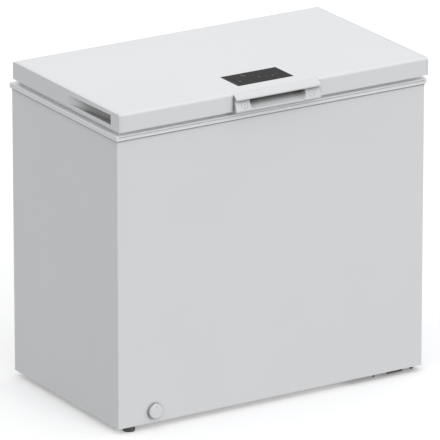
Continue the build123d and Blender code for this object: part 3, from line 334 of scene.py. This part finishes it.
def stretch_skin(name, rings, finish_name, body, closed_row=False):
    """A solid with skin stretched over a row of closed rings, capped unless the row is closed."""
    skin = bmesh.new()
    rows = [[skin.verts.new(point) for point in ring] for ring in rings]
    pairs = list(zip(rows, rows[1:]))
    if closed_row:
        pairs.append((rows[-1], rows[0]))
    else:
        skin.faces.new(list(reversed(rows[0])))
        skin.faces.new(rows[-1])
    for here, there in pairs:
        for number in range(len(here)):
            after = (number + 1) % len(here)
            skin.faces.new((here[number], here[after], there[after], there[number]))
    bmesh.ops.recalc_face_normals(skin, faces=skin.faces)
    return as_piece(name, skin, finish_name, body)


def cut_out(piece, cutter):
    """Takes one object's shape out of another and removes the cutter."""
    bite = piece.modifiers.new("cut", "BOOLEAN")
    bite.operation = "DIFFERENCE"
    bite.object = cutter
    bpy.context.view_layer.update()
    result = piece.evaluated_get(bpy.context.evaluated_depsgraph_get())
    mesh = bpy.data.meshes.new_from_object(result)
    piece.modifiers.clear()
    piece.data = mesh
    mesh.set_sharp_from_angle(angle=sharp_angle)
    bpy.data.objects.remove(cutter)


print("piece helpers ready")

# %% [markdown]
# The handle is one white moulding screwed to the middle of the lid's front. Seen from its end it has
# a lip on top that slopes down to a blunt edge, and below that a face that leans back under the lip.
# In the middle the face gives way to a pocket for the fingers, whose floor sweeps in and up. Both
# outlines share their first and last parts and differ only between the pocket's two edges, so that
# the next cell can blend one into the other. Values are in millimetres: first the distance behind
# the handle's front edge, then the height above the lid's underside.

# %% Handle outline
tip = low("lid_handle", 1)
gap_to_lid = 0.1
gap_over_edge = 0.05
lid_face = (lid_front - tip) / MM - gap_to_lid
lid_height = (lid_top - lid_bottom) / MM
lid_radius = 7.0
face_foot = 2.0
face_lean = 10.0
lip_under = 32.5
lip_back = 5.0
pocket_floor = 5.0
pocket_roof = 38.0
pocket_back = 27.0
pocket_sill = (1.0, pocket_floor)
middle_points = 40
edge_start = 100
edge_sweep = 80
edge_steps = 6

below = rounded([(lid_face, -3), (2, -3), (0, face_foot), pocket_sill], [0, 1.5, 2, 0])
plain = rounded([pocket_sill, (face_lean, lip_under), (lip_back, lip_under)], [0, 1.5, 0])
pocket = rounded([pocket_sill, (4, pocket_floor + 0.6), (pocket_back, pocket_roof - 12),
                  (pocket_back, pocket_roof), (lip_back, pocket_roof), (lip_back, lip_under)],
                 [0, 4, 12, 4, 3, 0])
plain_middle = spread(plain, middle_points)
pocket_middle = spread(pocket, middle_points)
above = rounded([(lip_back, lip_under), (0, lip_under), (0, lip_under + 5),
                 (21, lid_height), (21.9, lid_height)], [0, 1.0, 2.5, 1.5, 0], steps=4)
over_lid = []
for step in range(edge_steps + 1):
    turn = radians(edge_start + edge_sweep * step / edge_steps)
    over_lid.append((lid_face + lid_radius + (lid_radius + gap_over_edge) * cos(turn),
                     lid_height - lid_radius + (lid_radius + gap_over_edge) * sin(turn)))
print("outline of", len(below) + middle_points + len(above) + len(over_lid), "points")

# %% [markdown]
# Rings of the outline are placed from one end of the handle to the other. Near each end of the
# pocket they change from the plain outline to the pocket's in small steps, with a smooth start and
# stop, which gives the soft ends that a moulded pocket has. Behind the pocket a box reaches back into
# the lid, and two rings set close together make its end wall. The rings at the very ends are pulled
# in a little for a rounded edge: end_rounding lists how far from the end, and how far in. Only one
# half is listed, and the other half mirrors it.

# %% Handle
handle_half = high("lid_handle", 0) / MM
pocket_half = 90.0
pocket_soft = 10.0
pocket_steps = 14
box_half = 93.0
box_low = 8.0
box_high = 41.0
box_back = (high("lid_handle", 1) - tip) / MM
wall_step = 0.05
kept_back = 0.5
end_rounding = [(0.0, 1.2), (0.3, 0.5), (1.2, 0.0)]
plain_places = (120, 100, box_half + wall_step, box_half - wall_step, 91)
pocket_places = (70, 50, 25)


def handle_ring(x, depth, with_box, shrink=0.0):
    """One ring of the handle; depth runs from 0 for the plain outline to 1 for the pocket."""
    middle = []
    for flat, deep in zip(plain_middle, pocket_middle):
        middle.append(tuple(a + (b - a) * depth for a, b in zip(flat, deep)))
    back = box_back if with_box else lid_face
    behind = [(lid_face, box_high), (back, box_high), (back, box_low), (lid_face, box_low)]
    outline = below + middle[1:-1] + above + over_lid + behind
    ring = []
    for y, z in outline:
        inward = shrink if y < lid_face - kept_back else 0.0
        ring.append((x * MM, tip + (y + inward) * MM, lid_bottom + z * MM))
    return ring


stations = [(handle_half - inset, shrink) for inset, shrink in end_rounding]
stations += [(x, 0.0) for x in plain_places]
stations += [(pocket_half - pocket_soft * step / pocket_steps, 0.0) for step in range(pocket_steps + 1)]
stations += [(x, 0.0) for x in pocket_places]
stations += [(0.0, 0.0)] + [(-x, shrink) for x, shrink in reversed(stations)]
rings = []
for x, shrink in stations:
    t = min(max((pocket_half - abs(x)) / pocket_soft, 0.0), 1.0)
    rings.append(handle_ring(x, t * t * (3 - 2 * t), abs(x) < box_half, shrink))
handle = stretch_skin("handle_moulding", rings, "handle_plastic_with_painted_shade", "lid")
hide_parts("lid_handle")
print("handle", len(handle.data.vertices), "points")

# %% [markdown]
# The lid's plastic ends each have a finger scoop, deep at the front and running out towards the
# back. Inside the scoop the colour is painted a dark grey: painted shade that stands for the shade
# in the recess. A Voronoi texture, whose cells are evenly packed like etched dots, adds a fine
# dimpled bump over the grain that every finish has. The painted shade fades to white along Y as the
# scoop runs out, which a Map Range node works out from the Object coordinates.

# %% Painted shade in the scoops
scoop_front = lid_front + 44 * MM
scoop_back = lid_front + 280 * MM
fade_start = scoop_front + 110 * MM
fade_end = scoop_front + 215 * MM
dots_per_metre = 450.0
dimple_depth = 0.3 * MM
run_out_white = grey(0.79, 0.006)

# Painted shade: a dark grey for the shade inside the scoop, fading to white as the scoop runs out.
scoop_shade = finish("scoop_painted_shade", grey(0.36), grey(0.33), 0.6, patch=40, grain=900, depth=0.03)
tree = scoop_shade.node_tree
place = tree.nodes["Texture Coordinate"]
dots = tree.nodes.new("ShaderNodeTexVoronoi")
dots.inputs["Scale"].default_value = dots_per_metre
dimples = tree.nodes.new("ShaderNodeBump")
dimples.inputs["Distance"].default_value = dimple_depth
tree.links.new(place.outputs["Object"], dots.inputs["Vector"])
tree.links.new(dots.outputs["Distance"], dimples.inputs["Height"])
tree.links.new(tree.nodes["Bump"].outputs["Normal"], dimples.inputs["Normal"])
tree.links.new(dimples.outputs["Normal"], shader_of(scoop_shade).inputs["Normal"])
split_place = tree.nodes.new("ShaderNodeSeparateXYZ")
run_out = tree.nodes.new("ShaderNodeMapRange")
run_out.interpolation_type = "SMOOTHSTEP"
run_out.inputs["From Min"].default_value = fade_start
run_out.inputs["From Max"].default_value = fade_end
fade = tree.nodes.new("ShaderNodeMix")
fade.data_type = "RGBA"
fade.inputs["B"].default_value = (*run_out_white, 1.0)
tree.links.new(place.outputs["Object"], split_place.inputs["Vector"])
tree.links.new(split_place.outputs["Y"], run_out.inputs["Value"])
tree.links.new(run_out.outputs["Result"], fade.inputs["Factor"])
tree.links.new(tree.nodes["Colours"].outputs["Color"], fade.inputs["A"])
tree.links.new(fade.outputs["Result"], shader_of(scoop_shade).inputs["Base Color"])
paint_crease_shade("scoop_painted_shade", 12, 0.35)
print("grip fades over", round((fade_end - fade_start) / MM), "mm")

# %% [markdown]
# The surface of each end cap is copied, and the faces that lie inside its scoop are given the painted
# scoop shade as a second finish. A face belongs to the scoop when its middle lies inside the scoop's
# box and further in than the cap's outer side. Choosing faces by place is safer than by number,
# because numbers change when the design is built again.

# %% Painted shade faces in the scoops
scoop_low = lid_bottom + 10.5 * MM
scoop_high = lid_bottom + 39 * MM
skin_depth = 0.1 * MM

for side in ("left", "right"):
    node_name = "lid_" + side + "_end_cap"
    outer_x = max(abs(low(node_name, 0)), abs(high(node_name, 0)))
    skin = bmesh.new()
    skin.from_mesh(nodes[node_name].data)
    shaded_scoop_faces = 0
    for face in skin.faces:
        middle = face.calc_center_median()
        in_length = scoop_front < middle.y < scoop_back
        in_height = scoop_low < middle.z < scoop_high
        in_scoop = in_length and in_height and abs(middle.x) < outer_x - skin_depth
        # Faces inside the scoop take the painted scoop shade.
        face.material_index = 1 if in_scoop else 0
        shaded_scoop_faces += in_scoop
    end_cap = as_piece("end_cap_" + side, skin, "white_plastic", "lid")
    end_cap.data.materials.append(scoop_shade)
    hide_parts(node_name)
    print(side, "scoop has", shaded_scoop_faces, "grip faces")

# %% [markdown]
# Two round caps hide the screws that hold the handle. Each is a small disc that stands just proud of
# the leaning face, with a rounded rim and a dimple in the middle to get a blade under. A disc like
# this is the simplest ring-and-skin piece: every ring is a circle, with its own radius and its own
# depth behind the face. The profile lists both, from the dimple out to the rim, and one flat circle
# at the back closes the disc.

# %% Screw caps
designed_cap_radius = 9.0
cap_radius = 8.9
cap_rise = 16.0
cap_points = 40
cap_place = (high("handle_screw_caps", 0) - low("handle_screw_caps", 0)) / 2 / MM - designed_cap_radius
cap_depth = (high("handle_screw_caps", 1) - tip) / MM
lean = face_lean / (lip_under - face_foot)
cap_profile = [(0.2, 1.3), (2.2, 1.3), (2.9, 0.9), (3.3, -0.2), (3.8, -0.45), (6.9, -0.5), (8.0, -0.35),
               (8.6, 0.0), (cap_radius, 0.6)]


def circle(x, radius, depth, slope=0.0):
    """A circle round a cap's axis, at a depth behind the handle's front edge; a slope leans it back."""
    ring = []
    for number in range(cap_points):
        turn = 2 * pi * number / cap_points
        z = cap_rise + radius * sin(turn)
        y = (z - face_foot) * slope + depth
        ring.append(((x + radius * cos(turn)) * MM, tip + y * MM, lid_bottom + z * MM))
    return ring


for side, x in (("left", -cap_place), ("right", cap_place)):
    rings = [circle(x, radius, depth, lean) for radius, depth in cap_profile]
    rings.append(circle(x, cap_radius, cap_depth))
    cap = stretch_skin("screw_cap_" + side, rings, "white_plastic", "lid")
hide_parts("handle_screw_caps")
print("caps at", round(cap_place, 1), "mm either side of the middle")

# %% [markdown]
# The caps sit in two holes in the handle. Each hole is bored a little wider than its cap, and the gap
# between them reads as a thin dark ring. The drill is a plain cylinder, made with the same circles:
# it starts in front of the handle and ends just behind the cap.

# %% Bore the cap holes
bore_gap = 0.35
bore_start = -5.0
bore_end = cap_depth + 0.4

for x in (-cap_place, cap_place):
    rings = [circle(x, cap_radius + bore_gap, depth) for depth in (bore_start, bore_end)]
    cut_out(handle, stretch_skin("bore", rings, "white_plastic", "lid"))
print("handle now has", len(handle.data.vertices), "points")

# %% [markdown]
# A soft vinyl gasket runs round the lid's underside and closes the gap to the collar. The real one is
# extruded with folds like a concertina, so that it gives when the lid comes down. Its cross-section
# is drawn once: the folds list the outer side, and the inner side mirrors them. Each point of it is
# then carried round the lid as a rectangle with rounded corners, and the row of rectangles is closed
# into a tube.

# %% Gasket
gasket_low, gasket_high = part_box("lid_gasket")
gasket_width = 16.0
gasket_height = (gasket_high[2] - gasket_low[2]) / MM
outer_corner = 8.0
least_corner = 1.0
corner_steps = 6
fold_radius = 0.8
folds = [(16, 0), (16, 2), (13.4, 4.4), (16, 6.8), (13.6, 9.2), (15.4, 11.4), (15.4, gasket_height)]
section = folds + [(gasket_width - w, h) for w, h in reversed(folds)]
section = rounded(section, [fold_radius] * len(section), steps=3)


def rectangle_round(inset, z):
    """A rounded rectangle that follows the gasket's outer edge at a distance inside it."""
    corner = max(outer_corner - inset, least_corner) * MM
    points = []
    for x_side, y_side, start in ((1, -1, -90), (1, 1, 0), (-1, 1, 90), (-1, -1, 180)):
        x = (gasket_high[0] - inset * MM - corner) * x_side
        middle = (gasket_low[1] + gasket_high[1]) / 2
        y = middle + ((gasket_high[1] - gasket_low[1]) / 2 - inset * MM - corner) * y_side
        for step in range(corner_steps + 1):
            turn = radians(start + 90 * step / corner_steps)
            points.append((x + corner * cos(turn), y + corner * sin(turn), z))
    return points


rings = [rectangle_round(gasket_width - w, gasket_low[2] + h * MM) for w, h in section]
gasket = stretch_skin("bellows_gasket", rings, "gasket_vinyl", "lid", closed_row=True)
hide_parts("lid_gasket")
print("gasket", round(gasket_height, 1), "mm high")

# %% [markdown]
# Round-headed screws hold the rear cover and the hinges. On the real ones the head is a low dome with
# a cross pressed into it, so that a powered driver can't slip off. A dome is another row of circles,
# this time round the screw's own axis, which lies along Y here. The cross is cut with two thin
# blocks. Its shank hides in the sheet behind, so a short stub is enough.

# %% A dome-headed screw
head_radius = 4.0
head_height = 2.2
shank_radius = 2.0
shank_stub = 3.0
flat_top = 0.15
screw_points = 24
cross_reach = 2.2
cross_thin = 0.45
cross_floor = 0.9
cross_top = 4.0
dome_steps = 6

dome = [(shank_radius, -shank_stub), (shank_radius, 0.0), (head_radius, 0.0)]
for step in range(1, dome_steps + 1):
    turn = radians(90 * step / dome_steps)
    dome.append((max(head_radius * cos(turn), flat_top), head_height * sin(turn)))


def block_rings(x_middle, half_x, y_span, z_middle, half_z):
    """Two rings that make a block, bottom and top."""
    x_span = (x_middle - half_x * MM, x_middle + half_x * MM)
    corners = [(x_span[0], y_span[0]), (x_span[1], y_span[0]), (x_span[1], y_span[1]), (x_span[0], y_span[1])]
    return [[(x, y, z_middle + half * MM) for x, y in corners] for half in (-half_z, half_z)]


def cross_screw(name, x, seat_y, z, body):
    """A dome-headed screw that looks towards +Y, with a cross in its head."""
    rings = []
    for radius, height in dome:
        ring = []
        for number in range(screw_points):
            turn = 2 * pi * number / screw_points
            ring.append((x + radius * MM * cos(turn), seat_y + height * MM, z + radius * MM * sin(turn)))
        rings.append(ring)
    piece = stretch_skin(name, rings, "zinc_steel", body)
    depth = (seat_y + cross_floor * MM, seat_y + cross_top * MM)
    for half_x, half_z in ((cross_reach, cross_thin), (cross_thin, cross_reach)):
        rings = block_rings(x, half_x, depth, z, half_z)
        cut_out(piece, stretch_skin("cross", rings, "zinc_steel", body))
    return piece


print("screw head", 2 * head_radius, "mm wide")

# %% [markdown]
# The design keeps all the screws of one group in one node, so their places have to be found. Vertices
# that share a spot are merged first, because the design stores every face on its own. Then a walk
# along the edges gathers one loose piece after another, and the middle of each piece's box is where
# its screw goes. The whole designed node is hidden when the first screw of its group is made.

# %% Screws of the rear cover and the hinges
merge_distance = 0.01 * MM
place_digits = 5


def screw_places(node_name):
    """The middles of the loose pieces of a node, as (x, z)."""
    skin = bmesh.new()
    skin.from_mesh(nodes[node_name].data)
    bmesh.ops.remove_doubles(skin, verts=skin.verts, dist=merge_distance)
    middles = set()
    left = set(skin.verts)
    while left:
        group = [left.pop()]
        for vertex in group:
            for edge in vertex.link_edges:
                other = edge.other_vert(vertex)
                if other in left:
                    left.discard(other)
                    group.append(other)
        xs = [vertex.co.x for vertex in group]
        zs = [vertex.co.z for vertex in group]
        middle = ((min(xs) + max(xs)) / 2, (min(zs) + max(zs)) / 2)
        middles.add(tuple(round(value, place_digits) for value in middle))
    skin.free()
    return sorted(middles)


for node_name, body, designed_head in (("rear_cover_screws", "cabinet", 2.0), ("leaf_screws", "lid", 2.5)):
    seat_y = high(node_name, 1) - designed_head * MM
    places = screw_places(node_name)
    for number, (x, z) in enumerate(places, start=1):
        screw = cross_screw(node_name[:-1] + "_" + str(number), x, seat_y, z, body)
        if number == 1:
            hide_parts(node_name)
    print(len(places), node_name)

# %% [markdown]
# The control panel has no buttons: small light marks printed under the glass show where to touch. Only
# plain dots, dashes and one ring of dots are used here, with no words. Each mark is a thin flat tile
# on the glass with cut corners, eight-sided for a dot and long for a dash, and all of them are one
# mesh because they are one print. Places are in millimetres from the glass's middle and front.

# %% Touch marks
glass_low, glass_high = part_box("control_glass")
mark_height = 0.04 * MM
corner_share = 0.29
dot = 1.6
dash = (6.0, 1.0)
ring_middle = (-28.5, 73.0)
ring_radius = 5.0
ring_dots = 9
ring_dot = 1.3
single_dots = ((-26, 63.5), (-61, 42.5), (44, 12.5), (-44, 42.5), (26, 42.5), (60, 42.5))
dash_places = ((6, 44.5), (-61, 36), (44, 36))
scale_dashes = 12
scale_dash = (0.7, 2.2)
scale_x = -83.5
scale_start = 12.0
scale_pitch = 6.4
print_skin = bmesh.new()


def mark(x, y, length, width):
    """A flat tile with cut corners, centred on a place on the glass."""
    chamfer = min(length, width) * corner_share
    half_x = length / 2
    half_y = width / 2
    outline = [(half_x, half_y - chamfer), (half_x - chamfer, half_y), (chamfer - half_x, half_y),
               (-half_x, half_y - chamfer), (-half_x, chamfer - half_y), (chamfer - half_x, -half_y),
               (half_x - chamfer, -half_y), (half_x, chamfer - half_y)]
    rings = []
    for z in (glass_high[2] - mark_height, glass_high[2] + mark_height):
        points = [((x + dx) * MM, glass_low[1] + (y + dy) * MM, z) for dx, dy in outline]
        rings.append([print_skin.verts.new(point) for point in points])
    print_skin.faces.new(list(reversed(rings[0])))
    print_skin.faces.new(rings[1])
    for number in range(len(outline)):
        after = (number + 1) % len(outline)
        print_skin.faces.new((rings[0][number], rings[0][after], rings[1][after], rings[1][number]))


for number in range(ring_dots):
    turn = radians(360 * number / ring_dots)
    x = ring_middle[0] + ring_radius * cos(turn)
    y = ring_middle[1] + ring_radius * sin(turn)
    mark(x, y, ring_dot, ring_dot)
for x, y in (ring_middle, *single_dots):
    mark(x, y, dot, dot)
for x, y in dash_places:
    mark(x, y, *dash)
for number in range(scale_dashes):
    mark(scale_x, scale_start + number * scale_pitch, *scale_dash)
faces_per_mark = 10
finish("printed_marks", grey(0.55, 0.02), grey(0.50, 0.02), 0.4, patch=60, grain=900, depth=0.01)
marks = as_piece("touch_marks", print_skin, "printed_marks", "lid")
print("marks", len(marks.data.polygons) // faces_per_mark)

# %% [markdown]
# An appliance is shown best on a seamless pale floor. One large square is enough, far wider than the
# view. It is kept out of indirect light, so that its brightness can be chosen without lighting the
# freezer's sides from below, and a trace of emission lifts it close to white.

# %% Floor
floor_half = 30.0
floor_glow = 0.15
corners = [(-floor_half, -floor_half, 0), (floor_half, -floor_half, 0), (floor_half, floor_half, 0),
           (-floor_half, floor_half, 0)]
mesh = bpy.data.meshes.new("studio_floor")
mesh.from_pydata(corners, [], [(0, 1, 2, 3)])
floor = bpy.data.objects.new("studio_floor", mesh)
bpy.context.scene.collection.objects.link(floor)
floor_finish = finish("studio_floor", grey(0.97), grey(0.965), 0.9, patch=0.6, grain=20, depth=0.1)
floor_shader = shader_of(floor_finish)
floor_shader.inputs["Emission Color"].default_value = (1.0, 1.0, 1.0, 1.0)
floor_shader.inputs["Emission Strength"].default_value = floor_glow
mesh.materials.append(floor_finish)
floor.visible_diffuse = False
print("floor", 2 * floor_half, "metres wide")

# %% [markdown]
# White goods look best under a big soft light overhead with some fill from the front. The sky here is
# a world shader that is bright above the horizon and dim below it, which leaves upright walls a step
# darker than the top. A broad, weak sun from the front then lifts the front above the side, so that
# the three visible faces get three clearly different greys.

# %% Light
sky_light = 0.93
ground_light = 0.18
horizon_half = 0.15
sky_colour = (0.985, 0.99, 1.0, 1.0)
front_light = 0.79
sun_width = radians(20)
sun_tilt = radians(72)
sun_turn = radians(12)

world = bpy.data.worlds.new("studio")
bpy.context.scene.world = world
world.use_nodes = True
tree = world.node_tree
direction = tree.nodes.new("ShaderNodeTexCoord")
split = tree.nodes.new("ShaderNodeSeparateXYZ")
brightness = tree.nodes.new("ShaderNodeMapRange")
brightness.inputs["From Min"].default_value = -horizon_half
brightness.inputs["From Max"].default_value = horizon_half
brightness.inputs["To Min"].default_value = ground_light
brightness.inputs["To Max"].default_value = sky_light
tree.links.new(direction.outputs["Generated"], split.inputs["Vector"])
tree.links.new(split.outputs["Z"], brightness.inputs["Value"])
tree.links.new(brightness.outputs["Result"], tree.nodes["Background"].inputs["Strength"])
tree.nodes["Background"].inputs["Color"].default_value = sky_colour
key = bpy.data.lights.new("front_key", "SUN")
key.energy = front_light
key.angle = sun_width
lamp = bpy.data.objects.new("front_key", key)
lamp.rotation_euler = (sun_tilt, 0, sun_turn)
bpy.context.scene.collection.objects.link(lamp)
print("sky", sky_light, "front light", front_light)

# %% [markdown]
# A long lens far away keeps the freezer's edges nearly parallel, the way large goods are shown. The
# camera looks down by about nineteen degrees and stands to the left of the front. Standard view
# transform is chosen because the scene is evenly lit and its whites should stay white.

# %% Camera
camera_place = (-9.162, -14.854, 6.357)
look_down = radians(18.71)
stand_left = radians(31.69)
lens_length = 546.2
sensor_width = 36
farthest_seen = 100

camera_data = bpy.data.cameras.new("camera")
camera_data.lens = lens_length
camera_data.sensor_width = sensor_width
camera_data.clip_end = farthest_seen
camera = bpy.data.objects.new("camera", camera_data)
camera.location = camera_place
camera.rotation_euler = (radians(90) - look_down, 0, -stand_left)
bpy.context.scene.collection.objects.link(camera)
bpy.context.scene.camera = camera
bpy.context.scene.view_settings.view_transform = "Standard"
print("camera", [round(v, 2) for v in camera.location])
